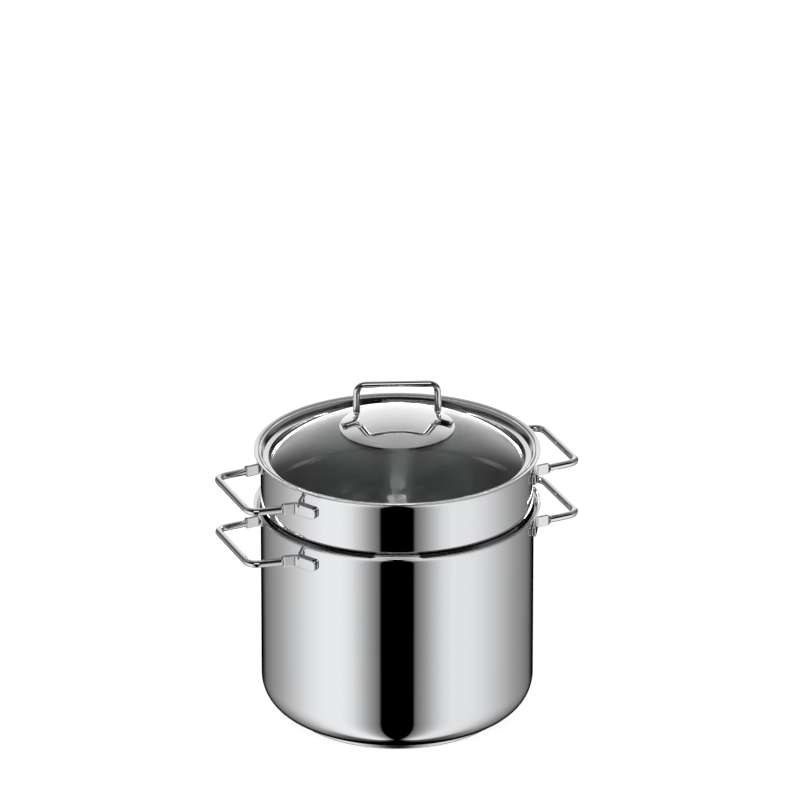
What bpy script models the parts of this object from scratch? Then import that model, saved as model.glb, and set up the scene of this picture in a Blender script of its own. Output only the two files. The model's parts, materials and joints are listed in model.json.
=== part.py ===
"""Pasta pot of polished stainless steel, built as the pieces it is made of.

A flared pot on a sandwich base holds a perforated strainer insert, and a domed glass lid
lies in the insert's mouth. The insert lifts out of the pot and the lid lifts off the insert.
Lengths are in metres, +Z is up, and the origin is the middle of the base's underside.
The two side handles of each vessel point along -X (left) and +X (right).
"""

import math

import bmesh
import bpy
from mathutils import Matrix, Vector

MM = 0.001

# Clearance that separate pieces keep where they touch
SEAT = 0.3 * MM

# Pot shell
POT_INNER_RADIUS = 120.0 * MM
POT_WALL = 1.0 * MM
POT_HEIGHT = 198.0 * MM
POT_CORNER = 28.0 * MM
RIM_FLARE = 7.0 * MM

# Sandwich base, whose edge reaches out past the start of the pot's rounded corner
BASE_OVERHANG = 3.5 * MM
BASE_SHEET = 0.8 * MM
BASE_EDGE = 2.0 * MM
CORE_THICKNESS = 3.6 * MM

# Strainer insert, with heights counted from the underside of its foot ring.
# Its plain band ends a gap above the pot's rim.
INSERT_CLEARANCE = 1.0 * MM
INSERT_WALL = 0.8 * MM
INSERT_UNDERSIDE = 23.0 * MM
INSERT_CORNER = 20.0 * MM
BAND_DEPTH = 48.0 * MM
BAND_GAP = 3.3 * MM
STEP_HEIGHT = 7.0 * MM

# Foot ring under the insert, set in from the insert's inner wall
FOOT_INSET = 7.0 * MM
FOOT_FLARE = 1.6 * MM
FOOT_ROUNDING = 9.0 * MM
FOOT_WALL = 0.8 * MM

# Perforation: groups of staggered columns round the wall, and rings of holes in the floor
HOLE_RADIUS = 2.0 * MM
HOLE_SIDES = 6
HOLE_GROUPS = 11
HOLE_COLUMNS = 5
HOLE_ROWS = 6
COLUMN_ANGLE = math.radians(5.15)
ROW_PITCH = 18.6 * MM
TOP_ROW_DEPTH = 90.7 * MM
BLANK_DIRECTION = math.radians(-111.5)
FLOOR_RINGS = 3
FLOOR_RING_PITCH = 26.0 * MM

# Side handles of the pot and of the insert
HANDLE_PROJECTION = 34.4 * MM
HANDLE_HALF_LENGTH = 42.0 * MM
HANDLE_ROD = 6.5 * MM
HANDLE_CORNER = 10.0 * MM
HANDLE_BEND = 3.0 * MM
HANDLE_FLARE = 10.5 * MM
HANDLE_FOOT_START = math.radians(22.4)
HANDLE_FOOT_END = math.radians(33.4)
HANDLE_FOOT_HEIGHT = 10.5 * MM
HANDLE_FOOT_THICKNESS = 3.4 * MM
HANDLE_END_CHAMFER = 1.0 * MM
POT_HANDLE_DEPTH = 19.5 * MM
INSERT_HANDLE_DEPTH = 21.0 * MM

# Lid rim, with heights counted from the plane of its lip, which lies inside the insert's lip
LID_INSET = 5.0 * MM
LID_LIP = 3.3 * MM
LID_FLARE = 9.0 * MM
LID_FLARE_HEIGHT = 7.8 * MM
LID_SKIRT_INSET = 3.8 * MM
LID_CHANNEL_WALL = 2.8 * MM
LID_CHANNEL_DEPTH = 1.8 * MM
LID_SHEET = 0.6 * MM

# Glass dome
GLASS_GAP = 0.4 * MM
GLASS_RISE = 35.0 * MM
GLASS_EDGE_DEPTH = 7.8 * MM
GLASS_THICKNESS = 4.0 * MM
GLASS_HOLE_RADIUS = 4.5 * MM

# Polished disc under the lid handle
DISC_RADIUS = 51.0 * MM
DISC_RISE = 10.0 * MM
DISC_SHEET = 1.0 * MM

# Lid handle
LID_HANDLE_DIRECTION = math.radians(-18.9)
LID_HANDLE_HALF_LENGTH = 35.7 * MM
LID_HANDLE_HEIGHT = 62.2 * MM
LID_HANDLE_ROD = 6.0 * MM
LID_HANDLE_CORNER = 8.0 * MM
LID_HANDLE_BEND = 5.0 * MM
LID_HANDLE_FLARE = 9.0 * MM
LID_FOOT_REACH = 49.6 * MM
LID_FOOT_WIDTH = 9.0 * MM
LID_FOOT_THICKNESS = 3.0 * MM

# Fastening of the disc through the glass
STUD_RADIUS = 3.0 * MM
STUD_PROJECTION = 1.5 * MM
STUD_CLEARANCE = 0.5 * MM
SEAL_RADIUS = 12.0 * MM
SEAL_THICKNESS = 2.0 * MM
WASHER_RADIUS = 10.0 * MM
WASHER_THICKNESS = 1.0 * MM
NUT_ACROSS_CORNERS = 11.5 * MM
NUT_HEIGHT = 5.0 * MM

# Sections of a handle's bar: exponents of a rounded rectangle and of a round rod
FOOT_SQUARENESS = 6.0
ROD_SQUARENESS = 2.0
END_SHRINK = 0.8

# Facets
INSERT_STEPS = HOLE_GROUPS * 6
ROUND_STEPS = 48
DISC_STEPS = 32
SMALL_STEPS = 20
CORNER_STEPS = 4
FLARE_STEPS = 3
DOME_STEPS = 5
SECTION_POINTS = 10

# Heights and radii that follow from the sizes above
POT_UNDERSIDE = BASE_SHEET + SEAT + CORE_THICKNESS + SEAT
POT_FLOOR = POT_UNDERSIDE + POT_WALL
POT_OUTER_RADIUS = POT_INNER_RADIUS + POT_WALL
INSERT_OUTER_RADIUS = POT_INNER_RADIUS - INSERT_CLEARANCE
INSERT_INNER_RADIUS = INSERT_OUTER_RADIUS - INSERT_WALL
INSERT_FLOOR = INSERT_UNDERSIDE + INSERT_WALL
BAND_OUTER_RADIUS = POT_INNER_RADIUS + INSERT_WALL
BASE_RADIUS = POT_INNER_RADIUS - POT_CORNER + BASE_OVERHANG
HANDLE_REACH = POT_OUTER_RADIUS + HANDLE_PROJECTION

# The foot ring stands in the rounded corner of the pot
FOOT_RADIUS = INSERT_INNER_RADIUS - FOOT_INSET
FOOT_REACH = max(FOOT_RADIUS - POT_INNER_RADIUS + POT_CORNER, 0.0)
CORNER_SAG = POT_CORNER * (1.0 - math.cos(math.pi / 4 / CORNER_STEPS))
FOOT_RISE = POT_CORNER - math.sqrt((POT_CORNER - CORNER_SAG - SEAT) ** 2 - FOOT_REACH ** 2)
INSERT_LIFT = POT_FLOOR + FOOT_RISE
INSERT_HEIGHT = POT_HEIGHT + BAND_GAP + BAND_DEPTH - INSERT_LIFT

LID_RADIUS = POT_INNER_RADIUS + RIM_FLARE - LID_INSET
LID_SKIRT_RADIUS = LID_RADIUS - LID_SKIRT_INSET
GLASS_RADIUS = LID_SKIRT_RADIUS - LID_CHANNEL_WALL - GLASS_GAP
GLASS_SPHERE = (GLASS_RADIUS ** 2 + GLASS_RISE ** 2) / (2 * GLASS_RISE)
DISC_SPHERE = (DISC_RADIUS ** 2 + DISC_RISE ** 2) / (2 * DISC_RISE)

STEEL = ((0.78, 0.78, 0.79), 0.12, 1.0)
BRUSHED = ((0.70, 0.70, 0.71), 0.30, 1.0)
ALUMINIUM = ((0.82, 0.82, 0.83), 0.40, 1.0)
GLASS = ((0.90, 0.94, 0.93), 0.05, 0.0)
SILICONE = ((0.55, 0.56, 0.57), 0.60, 0.0)


def clear_scene():
    """Remove every object that the scene starts with."""
    for thing in list(bpy.data.objects):
        bpy.data.objects.remove(thing, do_unlink=True)


def add_collection(name):
    """Make a collection under the scene's own."""
    collection = bpy.data.collections.new(name)
    bpy.context.scene.collection.children.link(collection)
    return collection


def add_empty(name, height, parent, collection):
    """Make the empty that carries one lifting body on its axis."""
    empty = bpy.data.objects.new(name, None)
    empty.location = (0.0, 0.0, height)
    empty.parent = parent
    collection.objects.link(empty)
    return empty


def add_piece(name, mesh, look, parent, collection, angle=0.0):
    """Link a named piece with its own material, turned about its parent's vertical axis."""
    colour, roughness, metallic = look
    material = bpy.data.materials.new(name)
    material.use_nodes = True
    shader = material.node_tree.nodes["Principled BSDF"]
    shader.inputs["Base Color"].default_value = (*colour, 1.0)
    shader.inputs["Roughness"].default_value = roughness
    shader.inputs["Metallic"].default_value = metallic
    mesh.materials.append(material)
    piece = bpy.data.objects.new(name, mesh)
    piece.parent = parent
    piece.rotation_euler = (0.0, 0.0, angle)
    collection.objects.link(piece)
    return piece


def arc(centre, radius, start, end, steps):
    """Points along an arc of a profile, with angles in degrees from the outward direction."""
    points = []
    for step in range(steps + 1):
        angle = math.radians(start + (end - start) * step / steps)
        points.append((centre[0] + radius * math.cos(angle), centre[1] + radius * math.sin(angle)))
    return points


def turned(name, profile, steps, look, parent, collection, angle=0.0):
    """Turn a profile of (radius, height) points about the vertical axis.

    A profile that starts and ends on the axis stays open, and any other is closed to a ring.
    """
    count = len(profile)
    edges = [(index, index + 1) for index in range(count - 1)]
    if profile[0][0] > 0:
        edges.append((count - 1, 0))
    mesh = bpy.data.meshes.new(name)
    mesh.from_pydata([(radius, 0.0, height) for radius, height in profile], edges, [])
    piece = add_piece(name, mesh, look, parent, collection, angle)
    screw = piece.modifiers.new("Turn", "SCREW")
    screw.steps = steps
    screw.render_steps = steps
    screw.use_merge_vertices = True
    screw.merge_threshold = 0.00001
    return piece


def shell(face, wall):
    """Profile of a pressed shell, from its inner face and the same face moved out by the wall."""
    return face(0.0) + face(wall)[::-1]


def pot_face(offset):
    """Pot shell from the middle of the floor to the rim."""
    corner = (POT_INNER_RADIUS - POT_CORNER, POT_FLOOR + POT_CORNER)
    flare = (POT_INNER_RADIUS + RIM_FLARE, POT_HEIGHT - RIM_FLARE)
    return (
        [(0.0, POT_FLOOR - offset)]
        + arc(corner, POT_CORNER + offset, -90, 0, CORNER_STEPS)
        + arc(flare, RIM_FLARE - offset, 180, 90, FLARE_STEPS)
    )


def cap_face(offset):
    """Base cap from its middle to the upper edge of its wall."""
    corner = (BASE_RADIUS - BASE_EDGE, BASE_EDGE)
    radius = BASE_EDGE - BASE_SHEET + offset
    return (
        [(0.0, BASE_SHEET - offset)]
        + arc(corner, radius, -90, 0, FLARE_STEPS)
        + [(corner[0] + radius, POT_UNDERSIDE - SEAT)]
    )


def insert_face(offset):
    """Insert shell from the middle of the floor, past the step under its band, to the rim."""
    corner = (INSERT_INNER_RADIUS - INSERT_CORNER, INSERT_FLOOR + INSERT_CORNER)
    flare = (POT_INNER_RADIUS + RIM_FLARE, INSERT_HEIGHT - RIM_FLARE)
    step_top = INSERT_HEIGHT - BAND_DEPTH
    return (
        [(0.0, INSERT_FLOOR - offset)]
        + arc(corner, INSERT_CORNER + offset, -90, 0, FLARE_STEPS)
        + [
            (INSERT_INNER_RADIUS + offset, step_top - STEP_HEIGHT),
            (POT_INNER_RADIUS + offset, step_top),
        ]
        + arc(flare, RIM_FLARE - offset, 180, 90, FLARE_STEPS)
    )


def foot_face(offset):
    """Foot ring from its lower edge to its upper edge, under the insert's rounded corner."""
    top_radius = FOOT_RADIUS + FOOT_FLARE - FOOT_WALL
    corner = (INSERT_INNER_RADIUS - INSERT_CORNER, INSERT_FLOOR + INSERT_CORNER)
    reach = top_radius - corner[0]
    top = corner[1] - math.sqrt((INSERT_CORNER + INSERT_WALL + SEAT) ** 2 - reach ** 2)
    return [
        (FOOT_RADIUS - FOOT_WALL + offset, 0.0),
        (top_radius + offset, FOOT_ROUNDING),
        (top_radius + offset, top),
    ]


def lid_height_on_insert():
    """Height of the lid's lip above the insert's rim plane when it lies in the flared mouth."""
    seat_drop = RIM_FLARE - math.sqrt((RIM_FLARE + SEAT) ** 2 - LID_INSET ** 2)
    lip_edge = LID_FLARE_HEIGHT - lid_flare_top()
    return lip_edge - seat_drop


def lid_flare_top():
    """Height of the lip's outer edge above the foot of the lid rim's flared wall."""
    return math.sqrt(LID_FLARE ** 2 - (LID_FLARE - LID_SKIRT_INSET) ** 2)


def glass_height(radius, depth=0.0):
    """Height of the glass dome at a radius, on its top face or at a depth below it."""
    middle = GLASS_RISE - GLASS_EDGE_DEPTH - GLASS_SPHERE
    return middle + math.sqrt((GLASS_SPHERE - depth) ** 2 - radius ** 2)


def disc_height(radius, depth=0.0):
    """Height of the domed disc at a radius, on its top face or at a depth below it."""
    edge = glass_height(DISC_RADIUS) + SEAT + DISC_SHEET
    middle = edge + DISC_RISE - DISC_SPHERE
    return middle + math.sqrt((DISC_SPHERE - depth) ** 2 - radius ** 2)


def dome_points(height, depth, inner, outer, steps):
    """Profile points of a dome from an inner to an outer radius."""
    radii = [inner + (outer - inner) * step / steps for step in range(steps + 1)]
    return [(radius, height(radius, depth)) for radius in radii]


def hole_places():
    """Middle and outward direction of each hole of the insert, wall first and then floor."""
    places = []
    middle_radius = INSERT_OUTER_RADIUS - INSERT_WALL / 2
    group_angle = 2 * math.pi / HOLE_GROUPS
    for group in range(HOLE_GROUPS):
        for column in range(HOLE_COLUMNS):
            offset = column - (HOLE_COLUMNS - 1) / 2
            angle = math.pi / INSERT_STEPS + group * group_angle + offset * COLUMN_ANGLE
            outward = Vector((math.cos(angle), math.sin(angle), 0.0))
            stagger = column % 2
            for row in range(HOLE_ROWS - stagger):
                height = INSERT_HEIGHT - TOP_ROW_DEPTH - (row + stagger / 2) * ROW_PITCH
                places.append((outward * middle_radius + Vector((0.0, 0.0, height)), outward))
    floor_middle = INSERT_FLOOR - INSERT_WALL / 2
    downward = Vector((0.0, 0.0, -1.0))
    places.append((Vector((0.0, 0.0, floor_middle)), downward))
    for ring in range(1, FLOOR_RINGS + 1):
        for index in range(6 * ring):
            angle = 2 * math.pi * index / (6 * ring)
            radius = ring * FLOOR_RING_PITCH
            place = (radius * math.cos(angle), radius * math.sin(angle), floor_middle)
            places.append((Vector(place), downward))
    return places


def perforate(body, collection):
    """Cut the holes of the insert with one mesh of prisms."""
    prisms = bmesh.new()
    for middle, outward in hole_places():
        turn = outward.to_track_quat("Z", "Y").to_matrix().to_4x4()
        bmesh.ops.create_cone(
            prisms,
            cap_ends=True,
            segments=HOLE_SIDES,
            radius1=HOLE_RADIUS,
            radius2=HOLE_RADIUS,
            depth=6 * INSERT_WALL,
            matrix=Matrix.Translation(middle) @ turn,
        )
    mesh = bpy.data.meshes.new("insert_holes")
    prisms.to_mesh(mesh)
    prisms.free()
    cut_with(body, mesh, collection)


def cut_with(body, mesh, collection):
    """Subtract a mesh, given in the body's own frame, from the body."""
    cutter = bpy.data.objects.new(mesh.name, mesh)
    cutter.parent = body.parent
    cutter.location = body.location
    cutter.rotation_euler = body.rotation_euler
    cutter.hide_render = True
    cutter.display_type = "WIRE"
    collection.objects.link(cutter)
    cut = body.modifiers.new("Holes", "BOOLEAN")
    cut.operation = "DIFFERENCE"
    cut.solver = "EXACT"
    cut.object = cutter


def rounded_path(corners, steps):
    """Polyline through corners of (point, fillet radius), with an arc at each rounded one."""
    points = [corners[0][0]]
    for before, (corner, radius), after in zip(corners, corners[1:], corners[2:]):
        towards = (corner - before[0]).normalized()
        away = (after[0] - corner).normalized()
        turn = towards.angle(away)
        if radius == 0.0 or turn < 0.01:
            points.append(corner)
            continue
        start = corner - towards * radius * math.tan(turn / 2)
        inward = (away - towards * towards.dot(away)).normalized()
        for step in range(steps + 1):
            angle = turn * step / steps
            sweep = towards * math.sin(angle) + inward * (1.0 - math.cos(angle))
            points.append(start + sweep * radius)
    points.append(corners[-1][0])
    return points


def add_stations(points, distances):
    """Insert points at the given distances along a polyline."""
    result = [points[0]]
    walked = 0.0
    for start, end in zip(points, points[1:]):
        length = (end - start).length
        for distance in sorted(distances):
            if walked + 0.0001 < distance < walked + length - 0.0001:
                result.append(start.lerp(end, (distance - walked) / length))
        result.append(end)
        walked += length
    return result


def bar_section(distance, foot_length, flare_length, rod, foot):
    """Half thickness, half width and squareness of a handle's bar at a distance from its end."""
    blend = min(max((distance - foot_length) / flare_length, 0.0), 1.0)
    blend = blend * blend * (3.0 - 2.0 * blend)
    rounding = END_SHRINK if distance < HANDLE_END_CHAMFER / 2 else 1.0
    thickness, width = foot
    half_thickness = (thickness + (rod - thickness) * blend) / 2
    half_width = (width + (rod - width) * blend) / 2
    squareness = FOOT_SQUARENESS + (ROD_SQUARENESS - FOOT_SQUARENESS) * blend
    return half_thickness * rounding, half_width * rounding, squareness


def handle_mesh(name, path, across, foot_length, flare_length, rod, foot):
    """Loft a bar with flattened feet along a symmetric path that lies in one plane."""
    lengths = [(end - start).length for start, end in zip(path, path[1:])]
    total = sum(lengths)
    flare_end = foot_length + flare_length
    stations = [HANDLE_END_CHAMFER, foot_length, (foot_length + flare_end) / 2, flare_end]
    stations += [total - station for station in stations]
    path = add_stations(path, stations)
    verts = []
    walked = 0.0
    for index, point in enumerate(path):
        before = path[max(index - 1, 0)]
        after = path[min(index + 1, len(path) - 1)]
        walked += (point - before).length
        tangent = (after - before).normalized()
        side = across.cross(tangent)
        nearest_end = max(min(walked, total - walked), 0.0)
        thick, wide, squareness = bar_section(nearest_end, foot_length, flare_length, rod, foot)
        for corner in range(SECTION_POINTS):
            angle = 2 * math.pi * (corner + 0.5) / SECTION_POINTS
            cosine = math.copysign(abs(math.cos(angle)) ** (2 / squareness), math.cos(angle))
            sine = math.copysign(abs(math.sin(angle)) ** (2 / squareness), math.sin(angle))
            verts.append(point + side * thick * cosine + across * wide * sine)
    faces = [tuple(range(SECTION_POINTS))[::-1]]
    for ring in range(len(path) - 1):
        low = ring * SECTION_POINTS
        for corner in range(SECTION_POINTS):
            other = (corner + 1) % SECTION_POINTS
            faces.append(
                (low + corner, low + other, low + SECTION_POINTS + other, low + SECTION_POINTS + corner)
            )
    last = (len(path) - 1) * SECTION_POINTS
    faces.append(tuple(range(last, last + SECTION_POINTS)))
    mesh = bpy.data.meshes.new(name)
    mesh.from_pydata([tuple(vert) for vert in verts], [], faces)
    return mesh


def mirrored(corners, axis):
    """Continue a half path of corners with its mirror image."""
    other_half = []
    for point, radius in corners[::-1]:
        image = point.copy()
        image[axis] = -image[axis]
        other_half.append((image, radius))
    return corners + other_half


def bend_end(corners, index, radius):
    """Distance along a path of corners to the end of the fillet at one of them."""
    points = [corner[0] for corner in corners]
    towards = (points[index] - points[index - 1]).normalized()
    away = (points[index + 1] - points[index]).normalized()
    turn = towards.angle(away)
    straight = sum((b - a).length for a, b in zip(points[:index], points[1:index + 1]))
    return straight - radius * math.tan(turn / 2) + radius * turn


def side_handle(name, wall_radius, height, side, parent, collection):
    """Bent bar whose flattened feet lie along the wall, away from the handle's middle."""
    foot_radius = wall_radius + SEAT + HANDLE_FOOT_THICKNESS / 2
    foot_middle = (HANDLE_FOOT_START + HANDLE_FOOT_END) / 2
    corners = []
    for angle in (HANDLE_FOOT_END, foot_middle, HANDLE_FOOT_START):
        place = Vector((foot_radius * math.cos(angle), foot_radius * math.sin(angle), height))
        corners.append((place, 0.0))
    chord_sag = foot_radius * (1.0 - math.cos((HANDLE_FOOT_END - foot_middle) / 2))
    corners = [(point + point.xy.normalized().to_3d() * chord_sag, radius) for point, radius in corners]
    corners[2] = (corners[2][0], HANDLE_BEND)
    corners.append((Vector((HANDLE_REACH, HANDLE_HALF_LENGTH, height)), HANDLE_CORNER))
    foot_length = bend_end(corners, 2, HANDLE_BEND)
    path = rounded_path(mirrored(corners, 1), 4)
    foot = (HANDLE_FOOT_THICKNESS, HANDLE_FOOT_HEIGHT)
    across = Vector((0.0, 0.0, 1.0))
    mesh = handle_mesh(name, path, across, foot_length, HANDLE_FLARE, HANDLE_ROD, foot)
    turn = 0.0 if side > 0 else math.pi
    return add_piece(name, mesh, STEEL, parent, collection, turn)


def lid_handle(parent, collection):
    """Bent bar that stands on the disc on two feet turned outwards."""
    foot_middle = (LID_FOOT_REACH + LID_HANDLE_HALF_LENGTH) / 2
    slope = math.asin(foot_middle / DISC_SPHERE)
    normal = Vector((math.sin(slope), 0.0, math.cos(slope)))
    along = Vector((math.cos(slope), 0.0, -math.sin(slope)))
    surface = Vector((foot_middle, 0.0, disc_height(foot_middle)))
    middle = surface + normal * (LID_FOOT_THICKNESS / 2 + SEAT)
    tip = middle + along * ((LID_FOOT_REACH - middle.x) / math.cos(slope))
    bend = middle - along * ((middle.x - LID_HANDLE_HALF_LENGTH) / math.cos(slope))
    top = Vector((LID_HANDLE_HALF_LENGTH, 0.0, LID_HANDLE_HEIGHT))
    corners = [(tip, 0.0), (bend, LID_HANDLE_BEND), (top, LID_HANDLE_CORNER)]
    foot_length = bend_end(corners, 1, LID_HANDLE_BEND)
    path = rounded_path(mirrored(corners, 0), 5)
    foot = (LID_FOOT_THICKNESS, LID_FOOT_WIDTH)
    across = Vector((0.0, 1.0, 0.0))
    mesh = handle_mesh(
        "lid_handle", path, across, foot_length, LID_HANDLE_FLARE, LID_HANDLE_ROD, foot
    )
    return add_piece("lid_handle", mesh, STEEL, parent, collection, LID_HANDLE_DIRECTION)


def build_pot(parent, collection):
    """Shell, sandwich base and handles of the pot."""
    turned("pot_body", shell(pot_face, POT_WALL), ROUND_STEPS, STEEL, parent, collection)
    core_top = POT_UNDERSIDE - SEAT
    core_edge = (BASE_RADIUS - BASE_EDGE, BASE_EDGE)
    core_rounding = BASE_EDGE - BASE_SHEET - SEAT
    core = (
        [(0.0, core_top), (core_edge[0] + core_rounding, core_top)]
        + arc(core_edge, core_rounding, 0, -90, FLARE_STEPS)
        + [(0.0, BASE_SHEET + SEAT)]
    )
    turned("pot_base_core", core, ROUND_STEPS, ALUMINIUM, parent, collection)
    turned("pot_base_cap", shell(cap_face, BASE_SHEET), ROUND_STEPS, BRUSHED, parent, collection)
    handle_height = POT_HEIGHT - POT_HANDLE_DEPTH
    side_handle("pot_handle_left", POT_OUTER_RADIUS, handle_height, -1, parent, collection)
    side_handle("pot_handle_right", POT_OUTER_RADIUS, handle_height, 1, parent, collection)


def build_insert(parent, collection, cutters):
    """Perforated shell, foot ring and handles of the strainer insert."""
    group_angle = 2 * math.pi / HOLE_GROUPS
    turn = BLANK_DIRECTION + group_angle / 2 - math.pi / INSERT_STEPS
    profile = shell(insert_face, INSERT_WALL)
    body = turned("insert_body", profile, INSERT_STEPS, STEEL, parent, collection, turn)
    perforate(body, cutters)
    foot = foot_face(FOOT_WALL)[::-1] + foot_face(0.0)
    turned("insert_foot_ring", foot, ROUND_STEPS, STEEL, parent, collection)
    handle_height = INSERT_HEIGHT - INSERT_HANDLE_DEPTH
    side_handle("insert_handle_left", BAND_OUTER_RADIUS, handle_height, -1, parent, collection)
    side_handle("insert_handle_right", BAND_OUTER_RADIUS, handle_height, 1, parent, collection)


def lid_rim_profile():
    """Section of the lid's steel rim: flared lip, skirt and the channel that holds the glass."""
    lip_top = LID_FLARE_HEIGHT - lid_flare_top()
    flare = (LID_SKIRT_RADIUS + LID_FLARE, -LID_FLARE_HEIGHT)
    flare_end = math.degrees(math.asin(lid_flare_top() / LID_FLARE))
    channel_radius = LID_SKIRT_RADIUS - LID_CHANNEL_WALL
    mouth_radius = channel_radius - LID_CHANNEL_DEPTH
    flange_under = glass_height(mouth_radius) + SEAT
    flange_top = flange_under + LID_SHEET
    ledge_top = glass_height(GLASS_RADIUS, GLASS_THICKNESS) - SEAT
    ledge_under = ledge_top - LID_SHEET
    inner_radius = LID_RADIUS - LID_LIP
    return (
        [(LID_RADIUS - lip_top, 0.0)]
        + arc(flare, LID_FLARE, 180 - flare_end, 180, FLARE_STEPS)
        + [
            (LID_SKIRT_RADIUS, ledge_under),
            (mouth_radius, ledge_under),
            (mouth_radius, ledge_top),
            (channel_radius, ledge_top),
            (channel_radius, flange_under),
            (mouth_radius, flange_under),
            (mouth_radius, flange_top),
            (inner_radius - LID_SHEET, flange_top),
            (inner_radius, -LID_LIP / 2),
        ]
    )


def build_lid(parent, collection, cutters):
    """Glass dome, rim, disc, handle and fastening of the lid."""
    glass = (
        dome_points(glass_height, 0.0, GLASS_HOLE_RADIUS, GLASS_RADIUS, DOME_STEPS)
        + dome_points(glass_height, GLASS_THICKNESS, GLASS_HOLE_RADIUS, GLASS_RADIUS, DOME_STEPS)[::-1]
    )
    turned("lid_glass", glass, ROUND_STEPS, GLASS, parent, collection)
    turned("lid_rim", lid_rim_profile(), ROUND_STEPS, STEEL, parent, collection)
    disc = (
        dome_points(disc_height, 0.0, 0.0, DISC_RADIUS, DOME_STEPS)
        + dome_points(disc_height, DISC_SHEET, 0.0, DISC_RADIUS, DOME_STEPS)[::-1]
    )
    turned("lid_disc", disc, DISC_STEPS, STEEL, parent, collection)
    lid_handle(parent, collection)

    bore = STUD_RADIUS + STUD_CLEARANCE
    spacer_top = disc_height(SEAL_RADIUS, DISC_SHEET) - SEAT
    spacer_under = glass_height(GLASS_HOLE_RADIUS) + SEAT
    flat_ring("lid_disc_seal", SEAL_RADIUS, bore, spacer_under, spacer_top, SILICONE, parent, collection)
    seal_top = glass_height(SEAL_RADIUS, GLASS_THICKNESS) - SEAT
    seal_under = seal_top - SEAL_THICKNESS
    flat_ring("lid_under_seal", SEAL_RADIUS, bore, seal_under, seal_top, SILICONE, parent, collection)
    washer_top = seal_under - SEAT
    washer_under = washer_top - WASHER_THICKNESS
    flat_ring("lid_washer", WASHER_RADIUS, bore, washer_under, washer_top, BRUSHED, parent, collection)
    nut_top = washer_under - SEAT
    nut_under = nut_top - NUT_HEIGHT
    hexagon_nut("lid_nut", nut_under, nut_top, parent, collection, cutters)
    stud_top = disc_height(STUD_RADIUS, DISC_SHEET) - SEAT
    stud_under = nut_under - STUD_PROJECTION
    stud = [(0.0, stud_top), (STUD_RADIUS, stud_top), (STUD_RADIUS, stud_under), (0.0, stud_under)]
    turned("lid_stud", stud, SMALL_STEPS, STEEL, parent, collection)


def flat_ring(name, radius, bore, under, top, look, parent, collection):
    """Flat ring between two heights, with a bore for the stud."""
    profile = [(radius, top), (radius, under), (bore, under), (bore, top)]
    return turned(name, profile, SMALL_STEPS, look, parent, collection)


def prism(name, radius, sides, under, top):
    """Mesh of an upright prism between two heights."""
    bars = bmesh.new()
    bmesh.ops.create_cone(
        bars,
        cap_ends=True,
        segments=sides,
        radius1=radius,
        radius2=radius,
        depth=top - under,
        matrix=Matrix.Translation((0.0, 0.0, (top + under) / 2)),
    )
    mesh = bpy.data.meshes.new(name)
    bars.to_mesh(mesh)
    bars.free()
    return mesh


def hexagon_nut(name, under, top, parent, collection, cutters):
    """Six-sided nut with a round bore that clears the stud."""
    mesh = prism(name, NUT_ACROSS_CORNERS / 2, 6, under, top)
    nut = add_piece(name, mesh, BRUSHED, parent, collection)
    bore = prism("nut_bore", STUD_RADIUS + SEAT, SMALL_STEPS, under - NUT_HEIGHT, top + NUT_HEIGHT)
    cut_with(nut, bore, cutters)


def shade_pieces(collection):
    """Turn each piece into a plain mesh, smooth except over its sharp edges."""
    depsgraph = bpy.context.evaluated_depsgraph_get()
    for piece in [thing for thing in collection.objects if thing.type == "MESH"]:
        mesh = bpy.data.meshes.new_from_object(piece.evaluated_get(depsgraph))
        piece.modifiers.clear()
        piece.data = mesh
        mesh.name = piece.name
        mesh.shade_smooth()
        mesh.set_sharp_from_angle(angle=math.radians(32))


def build():
    """Stack the lid on the insert and the insert in the pot."""
    clear_scene()
    pieces = add_collection("pasta_pot")
    cutters = add_collection("cutters")
    pot = add_empty("pot", 0.0, None, pieces)
    insert = add_empty("insert_lift", INSERT_LIFT, pot, pieces)
    lid = add_empty("lid_lift", INSERT_HEIGHT + lid_height_on_insert(), insert, pieces)
    build_pot(pot, pieces)
    build_insert(insert, pieces, cutters)
    build_lid(lid, pieces, cutters)
    bpy.context.view_layer.update()
    shade_pieces(pieces)


build()
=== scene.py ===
# %% [markdown]
# # A pasta pot in polished steel
#
# The pot is a stack of thin pressed shells: a pot, a perforated insert that stands in it, and a
# glass lid that lies in the insert's mouth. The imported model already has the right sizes, but its
# round walls are made of a few flat facets, and a mirror shows every facet. So each visible piece
# is modelled again here, finely, at the very place of the piece that it stands for.

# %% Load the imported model
import json
import math

import bpy
from mathutils import Matrix, Vector

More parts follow.
